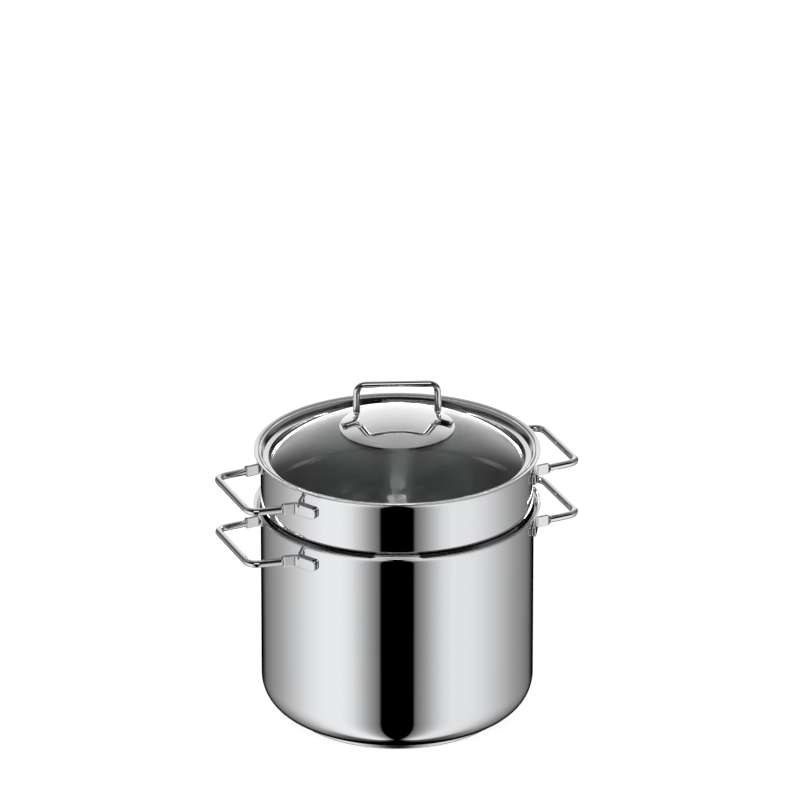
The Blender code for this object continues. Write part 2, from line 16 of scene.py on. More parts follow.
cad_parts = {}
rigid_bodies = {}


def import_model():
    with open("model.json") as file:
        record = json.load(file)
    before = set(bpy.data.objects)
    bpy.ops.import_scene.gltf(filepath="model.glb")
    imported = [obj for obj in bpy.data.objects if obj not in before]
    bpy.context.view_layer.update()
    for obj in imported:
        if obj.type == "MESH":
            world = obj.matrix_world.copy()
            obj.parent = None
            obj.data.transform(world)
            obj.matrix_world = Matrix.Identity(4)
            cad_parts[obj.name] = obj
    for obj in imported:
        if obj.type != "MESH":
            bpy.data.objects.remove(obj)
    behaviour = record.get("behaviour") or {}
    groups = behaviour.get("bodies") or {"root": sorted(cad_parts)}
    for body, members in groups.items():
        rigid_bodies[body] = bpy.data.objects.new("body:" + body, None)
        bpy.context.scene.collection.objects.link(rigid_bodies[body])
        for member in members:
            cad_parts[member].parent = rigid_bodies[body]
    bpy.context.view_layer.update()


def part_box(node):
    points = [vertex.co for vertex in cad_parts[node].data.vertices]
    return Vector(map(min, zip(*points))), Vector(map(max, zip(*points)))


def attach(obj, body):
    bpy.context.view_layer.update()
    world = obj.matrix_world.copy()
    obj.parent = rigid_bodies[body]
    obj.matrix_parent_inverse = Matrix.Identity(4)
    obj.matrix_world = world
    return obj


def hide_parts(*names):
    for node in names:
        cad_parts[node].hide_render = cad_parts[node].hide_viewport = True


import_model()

MM = 0.001

# %% [markdown]
# ## The camera
#
# The pieces were photographed from the left of their handles, looking down by almost 23 degrees,
# from so far away that the sides hardly converge. A long lens does the same here. The camera aims
# at the middle of the stack when it is pulled apart, so that the lifted pieces stay in view.

# %% Camera
VIEW_AZIMUTH = math.radians(-21.5)
VIEW_ELEVATION = math.radians(22.75)
VIEW_DISTANCE = 8.0
AIM_HEIGHT = 295.0 * MM
AIM_ASIDE = 2.5 * MM
PIXELS = 800
PIXELS_AT_UNIT_DISTANCE = 9081.0

to_camera = Vector((
    math.sin(VIEW_AZIMUTH) * math.cos(VIEW_ELEVATION),
    -math.cos(VIEW_AZIMUTH) * math.cos(VIEW_ELEVATION),
    math.sin(VIEW_ELEVATION),
))
camera_right = Vector((math.cos(VIEW_AZIMUTH), math.sin(VIEW_AZIMUTH), 0.0))
camera_data = bpy.data.cameras.new("camera")
camera_data.lens = PIXELS_AT_UNIT_DISTANCE / PIXELS * camera_data.sensor_width
camera_data.clip_end = 100.0
camera = bpy.data.objects.new("camera", camera_data)
camera.location = Vector((0, 0, AIM_HEIGHT)) + camera_right * AIM_ASIDE + to_camera * VIEW_DISTANCE
camera.rotation_mode = "QUATERNION"
camera.rotation_quaternion = (-to_camera).to_track_quat("-Z", "Y")
bpy.context.scene.collection.objects.link(camera)
bpy.context.scene.camera = camera
print("lens", round(camera_data.lens), "mm at", round(camera.location.length, 2), "m")

# %% [markdown]
# ## Shader maths as plain expressions
#
# A material is a graph of nodes. Wiring it node by node is hard to read, so a small class wraps a
# node's output, and Python's own operators add the Math nodes: `mask * 0.2 + 0.1` makes two.

# %% Wrapper for shader sockets
class Value:
    """An output of a shader node, on which Python's arithmetic builds Math nodes."""

    def __init__(self, tree, socket):
        self.tree = tree
        self.socket = socket

    def other(self, name):
        """Another output of the same node."""
        return Value(self.tree, self.socket.node.outputs[name])

    def _math(self, operation, *inputs):
        return self.tree.add("ShaderNodeMath", {"operation": operation}, dict(enumerate(inputs)))

    def __add__(self, other):
        return self._math("ADD", self, other)

    def __radd__(self, other):
        return self._math("ADD", other, self)

    def __sub__(self, other):
        return self._math("SUBTRACT", self, other)

    def __rsub__(self, other):
        return self._math("SUBTRACT", other, self)

    def __mul__(self, other):
        return self._math("MULTIPLY", self, other)

    def __rmul__(self, other):
        return self._math("MULTIPLY", other, self)

    def __truediv__(self, other):
        return self._math("DIVIDE", self, other)

    def __rtruediv__(self, other):
        return self._math("DIVIDE", other, self)

    def cosine(self):
        return self._math("COSINE", self)

    def nearest(self):
        return self._math("ROUND", self)

    def arc_tangent(self, other):
        return self._math("ARCTAN2", self, other)

    def arc_cosine(self):
        return self._math("ARCCOSINE", self)

    def least(self, other):
        return self._math("MINIMUM", self, other)

    def most(self, other):
        return self._math("MAXIMUM", self, other)

    def root(self):
        return self._math("SQRT", self)

    def step(self, low, high):
        """0 below low, 1 above high, and a smooth rise between."""
        settings = {"interpolation_type": "SMOOTHSTEP", "clamp": True}
        limits = {"From Min": low, "From Max": high, "To Min": 0.0, "To Max": 1.0}
        return self.tree.add("ShaderNodeMapRange", settings, {"Value": self, **limits})


# %% Wrapper for a node tree
class Tree:
    """A node tree to which nodes are added with their settings and inputs in one call."""

    def __init__(self, owner):
        owner.use_nodes = True
        self.nodes = owner.node_tree.nodes
        self.links = owner.node_tree.links

    def put(self, socket, value):
        """Link a Value to an input, or set a number or colour on it."""
        if isinstance(value, Value):
            self.links.new(value.socket, socket)
        elif isinstance(value, (tuple, list)) and len(value) == 3 and len(socket.default_value) == 4:
            socket.default_value = (*value, 1.0)
        else:
            socket.default_value = value

    def add(self, kind, settings=None, inputs=None, output=0):
        """Add a node, make its settings, feed its inputs and return one of its outputs."""
        node = self.nodes.new(kind)
        for name, setting in (settings or {}).items():
            if name == "stops":
                ramp = node.color_ramp
                while len(ramp.elements) < len(setting):
                    ramp.elements.new(0.5)
                for element, (place, grey) in zip(ramp.elements, setting):
                    element.position = place
                    element.color = (grey, grey, grey, 1.0)
            else:
                setattr(node, name, setting)
        for key, value in (inputs or {}).items():
            self.put(node.inputs[key], value)
        return Value(self, node.outputs[output]) if len(node.outputs) else None


print("shader helpers ready")

# %% [markdown]
# ## Light
#
# A mirror has no colour of its own: it shows the studio. The photograph's steel shows a black
# screen straight behind the camera, and a bright cloth to both sides of it that fades towards the
# back. That studio is painted on the world, by the angle round the object and the height above the
# horizon. The camera itself, also through the glass, sees plain white in place of it.

# %% Directions in the studio
NOT_ZERO = 0.0001

world = bpy.data.worlds.new("studio")
bpy.context.scene.world = world
sky = Tree(world)
sky.nodes.clear()
direction = sky.add("ShaderNodeTexCoord", output=0)
parts = sky.add("ShaderNodeSeparateXYZ", inputs={0: direction})
east, north, up = (parts.other(name) for name in "XYZ")
level = (east * east + north * north).root().most(NOT_ZERO)
towards = (east * math.sin(VIEW_AZIMUTH) - north * math.cos(VIEW_AZIMUTH)) / level
rightwards = (east * math.cos(VIEW_AZIMUTH) + north * math.sin(VIEW_AZIMUTH)) / level
round_angle = towards.most(-1.0).least(1.0).arc_cosine() / math.pi
height_angle = up.arc_tangent(level) / (math.pi / 2)
ray = sky.add("ShaderNodeLightPath")
glossy_depth = ray.other("Glossy Depth")
print("angles run from 0 at the camera to 1 at the far side, heights from -1 to 1")

# %% [markdown]
# The straight walls look down at the cloth, which is drawn by the angle round the object. It gets a
# little weaker to the right, as in the photograph. Its lower part at the far side is in shade, and
# right underneath the object it is dark.

# %% Cloth below the horizon
SCREEN_EDGE = 14.6 / 180
SCREEN_BLUR = 0.006
WEAKER_TO_THE_RIGHT = 0.05
FAR_SHADE = 0.7

cloth = sky.add("ShaderNodeValToRGB", {"stops": [
    (0.0, 0.0),
    (SCREEN_EDGE - SCREEN_BLUR, 0.0),
    (SCREEN_EDGE + SCREEN_BLUR, 0.20),
    (24 / 180, 0.44),
    (31 / 180, 0.69),
    (39 / 180, 0.95),
    (48 / 180, 1.08),
    (64 / 180, 1.07),
    (78 / 180, 0.96),
    (95 / 180, 0.73),
    (116 / 180, 0.46),
    (134 / 180, 0.31),
    (147 / 180, 0.20),
    (155 / 180, 0.06),
    (162 / 180, 0.0),
]}, {0: round_angle})
cloth = cloth * (1 - rightwards * WEAKER_TO_THE_RIGHT)
below = height_angle * -1.0
shade = below.step(0.62, 0.80) * round_angle.step(0.50, 0.60) * FAR_SHADE
underneath = below.step(0.90, 0.97)
lower = cloth * (1 - shade) * (1 - underneath)

# %% [markdown]
# Rims, rods and domes also look up. At the far side stands a backdrop, bright near the floor and
# darker overhead. A wide lamp hangs above the camera, and the ceiling to the sides is grey. The
# insides of the vessels only get light that has bounced more than once, so a strong lamp is there
# for second reflections alone: it draws the bright upright stripe in the middle of the inside.

# %% Lamps, backdrop and ceiling above the horizon
WIDE_LAMP = 1.6
INSIDE_LAMP = 13.0
CEILING = 0.24
SCREEN_GLOW = 0.015

backdrop = sky.add("ShaderNodeValToRGB", {"stops": [
    (0.0, 1.15),
    (0.25, 0.98),
    (0.38, 0.82),
    (0.48, 0.62),
    (0.70, 0.46),
    (1.0, 0.10),
]}, {0: height_angle})
far = round_angle.step(0.80, 0.90)
behind = round_angle.step(0.90, 0.94)
near_cloth = cloth * (1 - height_angle.step(0.0, 0.09)) + SCREEN_GLOW
ceiling = height_angle.step(0.10, 0.34) * round_angle.step(0.35, 0.50) * CEILING
wide_lamp = (1 - round_angle.step(0.108, 0.116)) * WIDE_LAMP
wide_lamp = wide_lamp * height_angle.step(0.26, 0.28) * (1 - height_angle.step(0.52, 0.54))
second_reflection = glossy_depth.step(1.4, 1.6) * (1 - glossy_depth.step(2.4, 2.6))
inside_lamp = behind * height_angle.step(0.30, 0.34) * (1 - height_angle.step(0.74, 0.80))
inside_lamp = inside_lamp * second_reflection * INSIDE_LAMP
upper = (near_cloth + ceiling) * (1 - far) + backdrop * far + wide_lamp + inside_lamp
horizon = height_angle.step(0.0, 0.10) * (1 - behind) + height_angle.step(-0.20, -0.17) * behind
studio = lower * (1 - horizon) + upper * horizon
print("studio painted from", len(sky.nodes), "nodes")

# %% [markdown]
# The pieces also throw a soft shadow on the floor, for which one soft box is enough. It is left out
# of the reflections, because the painted studio already holds the lamps that the steel shows.

# %% Which ray sees what, and the soft box
SOFT_BOX_SIZE = 1.6
SOFT_BOX_WATTS = 16.0
SOFT_BOX_PLACE = (-0.7, -0.9, 1.9)
WHITE = (1.0, 1.0, 1.0)

mirrored = glossy_depth.step(0.4, 0.6)
through = ray.other("Is Transmission Ray")
straight = ray.other("Is Camera Ray").most(through * (1 - mirrored))
strength = straight + (1 - straight) * studio
background = sky.add("ShaderNodeBackground", inputs={"Color": WHITE, "Strength": strength})
sky.add("ShaderNodeOutputWorld", inputs={"Surface": background})

soft_box_data = bpy.data.lights.new("soft_box", "AREA")
soft_box_data.shape = "DISK"
soft_box_data.size = SOFT_BOX_SIZE
soft_box_data.energy = SOFT_BOX_WATTS
soft_box = bpy.data.objects.new("soft_box", soft_box_data)
soft_box.location = SOFT_BOX_PLACE
soft_box.rotation_mode = "QUATERNION"
soft_box.rotation_quaternion = (-soft_box.location).to_track_quat("-Z", "Y")
soft_box.visible_glossy = False
soft_box.visible_camera = False
bpy.context.scene.collection.objects.link(soft_box)

bpy.context.scene.view_settings.view_transform = "Standard"
print("one soft box, size", SOFT_BOX_SIZE, "m")

# %% [markdown]
# ## Selecting and modelling helpers
#
# Operators work on whatever is selected, so each piece starts with nothing selected. All pieces of
# a pot but its handles are round, and the quickest way to a round piece is the way a lathe makes
# it: draw half of its section and spin that about the axis. The section starts as one vertex, which
# is extruded from point to point.

# %% Selection
MERGE = 0.02 * MM


def start_fresh():
    """Leave edit mode and select nothing."""
    if bpy.context.object is not None and bpy.context.object.mode != "OBJECT":
        bpy.ops.object.mode_set(mode="OBJECT")
    bpy.ops.object.select_all(action="DESELECT")


def pick_only(*things):
    """Select these objects alone, and make the first one active."""
    start_fresh()
    for thing in things:
        thing.select_set(True)
    bpy.context.view_layer.objects.active = things[0]


def edit_mode(on=True):
    bpy.ops.object.mode_set(mode="EDIT" if on else "OBJECT")


def pick_vertices(piece, wanted):
    """Enter edit mode and select the vertices for which wanted(place) holds."""
    edit_mode(False)
    for kind in (piece.data.polygons, piece.data.edges, piece.data.vertices):
        kind.foreach_set("select", [False] * len(kind))
    for vertex in piece.data.vertices:
        vertex.select = bool(wanted(vertex.co))
    edit_mode(True)
    bpy.ops.mesh.select_mode(type="VERT")


def apply_modifier(piece, kind, **settings):
    """Add a modifier, set it and apply it."""
    pick_only(piece)
    modifier = piece.modifiers.new(kind.title(), kind)
    for name, setting in settings.items():
        setattr(modifier, name, setting)
    bpy.ops.object.modifier_apply(modifier=modifier.name)


# %% Sections
def arc(centre, radius, start, end, steps):
    """Points on an arc of a section, with angles in degrees from the outward direction."""
    angles = [math.radians(start + (end - start) * step / steps) for step in range(steps + 1)]
    return [(centre[0] + radius * math.cos(a), centre[1] + radius * math.sin(a)) for a in angles]


def lathe(name, section, steps, closed=True):
    """Draw a half section by extruding one vertex from point to point, and spin it to a body.

    A section that starts and ends on the axis stays open, because its spin closes it.
    """
    start_fresh()
    bpy.ops.mesh.primitive_plane_add(size=0.01, location=(0.0, 0.0, 0.0))
    piece = bpy.context.object
    piece.name = piece.data.name = name
    edit_mode()
    bpy.ops.mesh.merge(type="CENTER")
    bpy.ops.transform.translate(value=(section[0][0], 0.0, section[0][1]))
    for here, there in zip(section, section[1:]):
        step = (there[0] - here[0], 0.0, there[1] - here[1])
        bpy.ops.mesh.extrude_vertices_move(TRANSFORM_OT_translate={"value": step})
    if closed:
        edit_mode(False)
        for index in (0, len(section) - 1):
            piece.data.vertices[index].select = True
        edit_mode(True)
        bpy.ops.mesh.edge_face_add()
    bpy.ops.mesh.select_all(action="SELECT")
    bpy.ops.mesh.spin(steps=steps, angle=2 * math.pi, center=(0, 0, 0), axis=(0, 0, 1))
    bpy.ops.mesh.select_all(action="SELECT")
    bpy.ops.mesh.remove_doubles(threshold=MERGE)
    bpy.ops.mesh.normals_make_consistent(inside=False)
    edit_mode(False)
    return piece


def finish_piece(piece, node, body, sharp=35.0):
    """Shade a piece, put it in the place of its node and make it ride on its body."""
    pick_only(piece)
    bpy.ops.object.transform_apply(location=True, rotation=True, scale=True)
    bpy.ops.object.shade_smooth_by_angle(angle=math.radians(sharp))
    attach(piece, body)
    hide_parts(node)
    triangles = sum(len(face.vertices) - 2 for face in piece.data.polygons)
    print(piece.name, "has", triangles, "triangles")


# %% [markdown]
# ## Sizes
#
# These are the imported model's own sizes, so that each new piece fills the place of the one that it
# replaces. Three of them are read from the model: where the insert stands, how high its rim is, and
# the plane of the lid's lip. Later cells read a few more. Only the step under the insert's band is
# shorter here, as in the photograph. FINE and LID_FINE count the faces round a piece, and LIP_END
# is the angle in degrees at which a rolled lip stops.

# %% Sizes
FINE = 256
LID_FINE = 192
LIP_END = 93
POT_RADIUS = 120.0 * MM
POT_WALL = 1.0 * MM
POT_HEIGHT = 198.0 * MM
POT_CORNER = 28.0 * MM
POT_FLOOR = 6.0 * MM
FLARE = 7.0 * MM
WALL = 0.8 * MM
INSERT_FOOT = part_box("insert_foot_ring")[0].z
INSERT_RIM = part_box("insert_body")[1].z
INSERT_RADIUS = 118.2 * MM
INSERT_CORNER = 20.0 * MM
INSERT_FLOOR = INSERT_FOOT + 23.8 * MM
BAND_DEPTH = 48.0 * MM
STEP_HEIGHT = 4.5 * MM
STEP_RINGS = 10
LIP_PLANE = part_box("lid_rim")[1].z
print("insert stands at", round(INSERT_FOOT / MM, 2), "mm, its rim at", round(INSERT_RIM / MM, 2), "mm")
print("lip of the lid at", round(LIP_PLANE / MM, 2), "mm")

# %% [markdown]
# ## The pot
#
# The real pot is drawn from a round sheet of steel in a press, which leaves a large rounded corner,
# and its rim is rolled out so that it pours without dripping. The section follows the inside up and
# comes back down the outside. Where a straight part meets an arc, the section gets a point close by
# on each side, because smooth shading would otherwise spread the bend over the whole straight part.

# %% Pot shell
def drawn_face(radius, corner, floor, rim, flare, wall):
    """One face of the pot from the middle of its floor to its lip, moved out by a wall."""
    foot = (radius - corner, floor + corner)
    lip = (radius + flare, rim - flare)
    guard = 1.5 * MM
    return (
        [(0.0, floor - wall), (foot[0] - guard, floor - wall)]
        + arc(foot, corner + wall, -90, 0, 14)
        + [(radius + wall, foot[1] + guard), (radius + wall, lip[1] - guard)]
        + arc(lip, flare - wall, 180, LIP_END, 10)
    )


def rolled_edge(outer_end, inner_end, steps=4):
    """Half round that closes a sheet's edge between the ends of its two faces."""
    middle = ((outer_end[0] + inner_end[0]) / 2, (outer_end[1] + inner_end[1]) / 2)
    radius = math.dist(outer_end, inner_end) / 2
    start = math.degrees(math.atan2(inner_end[1] - middle[1], inner_end[0] - middle[0]))
    return arc(middle, radius, start, start - 180, steps)[1:-1]


inside = drawn_face(POT_RADIUS, POT_CORNER, POT_FLOOR, POT_HEIGHT, FLARE, 0.0)
outside = drawn_face(POT_RADIUS, POT_CORNER, POT_FLOOR, POT_HEIGHT, FLARE, POT_WALL)
pot_section = inside + rolled_edge(outside[-1], inside[-1]) + outside[::-1]
pot_shell = lathe("pot_shell", pot_section, FINE, closed=False)
finish_piece(pot_shell, "pot_body", "pot")

# %% [markdown]
# ## The base
#
# Under the pot sits a disc of aluminium that spreads the heat, and a steel cap is pressed over it.
# The cap's underside is turned on a lathe. Its middle is set back a little, and round it run two
# shallow grooves that let the cap grow when it is hot. The aluminium is closed in, so the packed
# model's own disc stays and only gets a finish.

# %% Base cap
CAP_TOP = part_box("pot_base_cap")[1].z
CAP_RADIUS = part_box("pot_base_cap")[1].x
CAP_EDGE = 2.0 * MM
CAP_CHAMFER = 0.3 * MM
RECESS_RADIUS = 30 * MM
RECESS_HEIGHT = 0.3 * MM
GROOVE_RADII = (52 * MM, 74 * MM)
GROOVE_HALF_WIDTH = 1.0 * MM
GROOVE_DEPTH = 0.35 * MM


def groove(radius):
    """Points of a shallow rounded groove in the underside."""
    profile = ((-1.0, 0.0), (-0.5, 0.8), (0.0, 1.0), (0.5, 0.8), (1.0, 0.0))
    return [(radius + side * GROOVE_HALF_WIDTH, share * GROOVE_DEPTH) for side, share in profile]


edge_middle = (CAP_RADIUS - CAP_EDGE, CAP_EDGE)
cap_section = [(0.0, RECESS_HEIGHT), (RECESS_RADIUS, RECESS_HEIGHT), (RECESS_RADIUS + 1 * MM, 0.0)]
for groove_radius in GROOVE_RADII:
    cap_section += groove(groove_radius)
cap_section += arc(edge_middle, CAP_EDGE, -90, 0, 6)
cap_section += [(CAP_RADIUS, CAP_TOP - CAP_CHAMFER), (CAP_RADIUS - CAP_CHAMFER, CAP_TOP)]
cap_section += [(CAP_RADIUS - WALL, CAP_TOP)]
cap_section += arc(edge_middle, CAP_EDGE - WALL, 0, -90, 5)
cap_section += [(0.0, WALL)]
base_cap = lathe("base_cap", cap_section, FINE, closed=False)
finish_piece(base_cap, "pot_base_cap", "pot")

# %% [markdown]
# ## Handles
#
# Each handle is made from a straight steel rod. Its two ends are pressed flat, so that they can be
# spot welded, and then it is bent. It is modelled in the same order: a circle is extruded to a
# straight bar, a few lines of code press its ends to a rounded rectangle, and a Curve modifier bends
# it along its path. The press leaves a short shoulder where the flat end meets the round rod.

# %% Path with rounded bends
def bent_path(corners, steps=10):
    """Points along straight runs with an arc at each corner of (point, bend radius)."""
    points = [corners[0][0]]
    for before, (corner, radius), after in zip(corners, corners[1:], corners[2:]):
        towards = (corner - before[0]).normalized()
        away = (after[0] - corner).normalized()
        turn = towards.angle(away)
        start = corner - towards * radius * math.tan(turn / 2)
        inward = (away - towards * towards.dot(away)).normalized()
        for step in range(steps + 1):
            angle = turn * step / steps
            swept = towards * math.sin(angle) + inward * (1 - math.cos(angle))
            points.append(start + swept * radius)
    points.append(corners[-1][0])
    return points


def path_length(points):
    return sum((there - here).length for here, there in zip(points, points[1:]))


# %% Straight bar
BAR_POINTS = 28
BAR_SPACING = 1.0 * MM
FLAT_SPACING = 0.7 * MM
SHOULDER = 2.2 * MM
END_STOPS = [0.0, 0.25 * MM, 0.6 * MM, 1.2 * MM, 2.4 * MM, 4.0 * MM]
SHOULDER_STOPS = (-0.3, 0.0, 0.12, 0.3, 0.5, 0.7, 0.88, 1.0, 1.4)


def bar_stops(length, flat):
    """Places along a bar at which it gets a ring: close at its tips and shoulders, wider between."""
    press_stops = [flat + SHOULDER * share for share in SHOULDER_STOPS]
    along_flat = range(1, int(flat / FLAT_SPACING) - 6)
    flat_stops = [END_STOPS[-1] + step * FLAT_SPACING for step in along_flat]
    near = [stop for stop in END_STOPS + flat_stops + press_stops if stop <= press_stops[-1]]
    near.sort()
    middle_length = length - 2 * near[-1]
    runs = int(middle_length / BAR_SPACING)
    middle = [near[-1] + middle_length * step / runs for step in range(1, runs)]
    return near + middle + [length - stop for stop in near[::-1]]


def straight_bar(name, rod, stops):
    """Extrude a circle along X from stop to stop."""
    start_fresh()
    bpy.ops.mesh.primitive_circle_add(
        vertices=BAR_POINTS, radius=rod / 2, fill_type="NGON", rotation=(0, math.pi / 2, 0)
    )
    bar = bpy.context.object
    bar.name = bar.data.name = name
    bpy.ops.object.transform_apply(location=True, rotation=True, scale=True)
    edit_mode()
    bpy.ops.mesh.select_all(action="SELECT")
    for here, there in zip(stops, stops[1:]):
        bpy.ops.mesh.extrude_region_move(TRANSFORM_OT_translate={"value": (there - here, 0, 0)})
    bpy.ops.mesh.select_all(action="SELECT")
    bpy.ops.mesh.normals_make_consistent(inside=False)
    edit_mode(False)
    return bar


# %% Pressing the ends flat
TIP_CORNER = 3.6 * MM
TIP_EDGE = 0.9 * MM
ROUND_POWER = 2.0
FLAT_POWER = 7.0


def rounding(radius, from_end):
    """How far a rounded tip has fallen back at this distance from the end."""
    if from_end >= radius:
        return 0.0
    return radius - math.sqrt(radius ** 2 - (radius - from_end) ** 2)


def pressed_bar(name, length, flat, rod, thickness, width):
    """A straight bar whose two ends are rounded rectangles of this thickness and width."""
    bar = straight_bar(name, rod, bar_stops(length, flat))
    for vertex in bar.data.vertices:
        from_end = max(min(vertex.co.x, length - vertex.co.x), 0.0)
        blend = min(max((from_end - flat) / SHOULDER, 0.0), 1.0)
        blend = blend * blend * (3 - 2 * blend)
        half_width = (width + (rod - width) * blend) / 2 - rounding(TIP_CORNER, from_end)
        half_thickness = (thickness + (rod - thickness) * blend) / 2 - rounding(TIP_EDGE, from_end)
        power = 2 / (FLAT_POWER + (ROUND_POWER - FLAT_POWER) * blend)
        angle = math.atan2(vertex.co.z, vertex.co.y)
        cosine, sine = math.cos(angle), math.sin(angle)
        vertex.co.y = math.copysign(abs(cosine) ** power, cosine) * half_thickness
        vertex.co.z = math.copysign(abs(sine) ** power, sine) * half_width
    return bar


# %% Bending the bar
def bend_along(bar, points):
    """Bend a bar that lies along X to follow a path in the XY plane."""
    line = bpy.data.curves.new(bar.name + "_path", "CURVE")
    line.dimensions = "2D"
    spline = line.splines.new("POLY")
    spline.points.add(len(points) - 1)
    for slot, point in zip(spline.points, points):
        slot.co = (point.x, point.y, 0.0, 1.0)
    guide = bpy.data.objects.new(bar.name + "_path", line)
    bpy.context.scene.collection.objects.link(guide)
    apply_modifier(bar, "CURVE", object=guide, deform_axis="POS_X")
    bpy.data.objects.remove(guide)
    return bar


def dense(points, spacing=0.5 * MM):
    """The same path with points no further apart than the spacing."""
    result = [points[0]]
    for here, there in zip(points, points[1:]):
        pieces = max(1, math.ceil((there - here).length / spacing))
        result += [here.lerp(there, piece / pieces) for piece in range(1, pieces + 1)]
    return result


# %% Side handles
ROD = 6.5 * MM
FOOT_THICKNESS = 3.4 * MM
FOOT_HEIGHT = 10.5 * MM
REACH = 155.4 * MM
HALF_LENGTH = 42.0 * MM
FOOT_TIP = math.radians(33.1)
FOOT_HEEL = math.radians(23.8)
KNEE = math.radians(22.4)
KNEE_BEND = 3.2 * MM
CORNER_BEND = 10.0 * MM
FLAT_PAST_KNEE = 11.0 * MM
WELD_GAP = 0.3 * MM


def side_path(wall_radius):
    """Path of a side handle's middle line on the right of the vessel, and its flat length."""
    radius = wall_radius + WELD_GAP + FOOT_THICKNESS / 2
    foot = [FOOT_TIP + (FOOT_HEEL - FOOT_TIP) * step / 12 for step in range(13)]
    foot = [Vector((radius * math.cos(angle), radius * math.sin(angle))) for angle in foot]
    knee = Vector((radius * math.cos(KNEE), radius * math.sin(KNEE)))
    half = bent_path([
        (foot[-1], 0.0),
        (knee, KNEE_BEND),
        (Vector((REACH, HALF_LENGTH)), CORNER_BEND),
        (Vector((REACH, 0.0)), 0.0),
    ])
    half = foot[:-1] + half
    flat = path_length(foot) + (foot[-1] - knee).length + FLAT_PAST_KNEE
    whole = half + [Vector((point.x, -point.y)) for point in half[-2::-1]]
    return dense(whole), flat


def side_handle(name, node, body, wall_radius, turn):
    """Bend a side handle and set it against the wall at its node's height."""
    path, flat = side_path(wall_radius)
    bar = pressed_bar(name, path_length(path), flat, ROD, FOOT_THICKNESS, FOOT_HEIGHT)
    bend_along(bar, path)
    low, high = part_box(node)
    lift = Matrix.Translation((0, 0, (low.z + high.z) / 2))
    bar.matrix_world = lift @ Matrix.Rotation(turn, 4, "Z")
    finish_piece(bar, node, body, sharp=50.0)
    return bar


pot_handles = [
    side_handle("pot_grip_right", "pot_handle_right", "pot", POT_RADIUS + POT_WALL, 0.0),
    side_handle("pot_grip_left", "pot_handle_left", "pot", POT_RADIUS + POT_WALL, math.pi),
]
insert_handles = [
    side_handle("insert_grip_right", "insert_handle_right", "insert", POT_RADIUS + WALL, 0.0),
    side_handle("insert_grip_left", "insert_handle_left", "insert", POT_RADIUS + WALL, math.pi),
]

# %% [markdown]
# ## The strainer insert
#
# The insert's wall has eleven groups of holes. Cutting 308 holes out of a round wall with a
# Boolean would break its smooth shading, so the wall starts as a flat sheet of small cells. One
# cell has a hole and one is plain. Copies of them make a group, an Array modifier repeats the
# group, and the sheet is rolled up. The rest of the wall is then extruded from its two edges. The
# floor is flat, so its 37 holes can be cut with a Boolean.

# %% Two cells of the flat sheet
GROUPS = 11
COLUMNS = 5
CELL_ROWS = 11
OUTER = INSERT_RADIUS + WALL
COLUMN_ANGLE = math.radians(5.15)
CELL_WIDTH = OUTER * COLUMN_ANGLE
CELL_HEIGHT = 9.3 * MM
CELL_CUTS = 4
HOLE = 2.05 * MM
HOLE_MARGIN = 0.55 * MM
TOP_ROW = INSERT_RIM - 90.7 * MM


def plain_cell(name, width, height, across, down):
    start_fresh()
    bpy.ops.mesh.primitive_grid_add(x_subdivisions=across, y_subdivisions=down, size=1.0)
    cell = bpy.context.object
    cell.name = name
    cell.scale = (width, height, 1.0)
    bpy.ops.object.transform_apply(location=False, rotation=False, scale=True)
    return cell


def holed_cell(name):
    """Open a plain cell, and draw its outline in to a round hole with a flat ring round it."""
    cell = plain_cell(name, CELL_WIDTH, CELL_HEIGHT, CELL_CUTS, CELL_CUTS)
    pick_vertices(cell, lambda p: abs(p.x) < CELL_WIDTH * 0.4 and abs(p.y) < CELL_HEIGHT * 0.4)
    bpy.ops.mesh.delete(type="VERT")
    bpy.ops.mesh.select_all(action="SELECT")
    bpy.ops.mesh.extrude_edges_move()
    bpy.ops.transform.tosphere(value=1.0)
    edit_mode(False)
    radius = max(v.co.length for v in cell.data.vertices if v.select)
    edit_mode(True)
    for ring in (HOLE + HOLE_MARGIN, HOLE):
        share = ring / radius
        bpy.ops.transform.resize(value=(share, share, 1.0), center_override=(0, 0, 0))
        radius = ring
        if ring > HOLE:
            bpy.ops.mesh.extrude_edges_move()
    edit_mode(False)
    return cell


holed = holed_cell("holed_cell")
plain = plain_cell("plain_cell", CELL_WIDTH, CELL_HEIGHT, CELL_CUTS, CELL_CUTS)
print("a cell is", round(CELL_WIDTH / MM, 2), "by", round(CELL_HEIGHT / MM, 2), "mm")

# %% One group of holes
def copy_to(cell, x, y):
    pick_only(cell)
    bpy.ops.object.duplicate()
    bpy.context.object.location = (x, y, 0.0)
    return bpy.context.object


GROUP_WIDTH = OUTER * 2 * math.pi / GROUPS
GAP_CUTS = 5
cells = []
for column in range(COLUMNS):
    for row in range(CELL_ROWS):
        kind = holed if (column + row) % 2 == 0 else plain
        x = (column - (COLUMNS - 1) / 2) * CELL_WIDTH
        cells.append(copy_to(kind, x, TOP_ROW - row * CELL_HEIGHT))
gap_width = GROUP_WIDTH - COLUMNS * CELL_WIDTH
gap_middle = (COLUMNS * CELL_WIDTH + gap_width) / 2
gap = plain_cell("insert_wall", gap_width, CELL_ROWS * CELL_HEIGHT, GAP_CUTS, CELL_CUTS * CELL_ROWS)
gap.location = (gap_middle, TOP_ROW - (CELL_ROWS - 1) / 2 * CELL_HEIGHT, 0.0)
pick_only(gap, *cells)
bpy.ops.object.join()
insert_wall = bpy.context.object
bpy.ops.object.transform_apply(location=True, rotation=True, scale=True)
for spare in (holed, plain):
    bpy.data.objects.remove(spare)
edit_mode()
bpy.ops.mesh.select_all(action="SELECT")
bpy.ops.mesh.remove_doubles(threshold=MERGE)
edit_mode(False)
print("one group has", len(insert_wall.data.polygons), "faces")

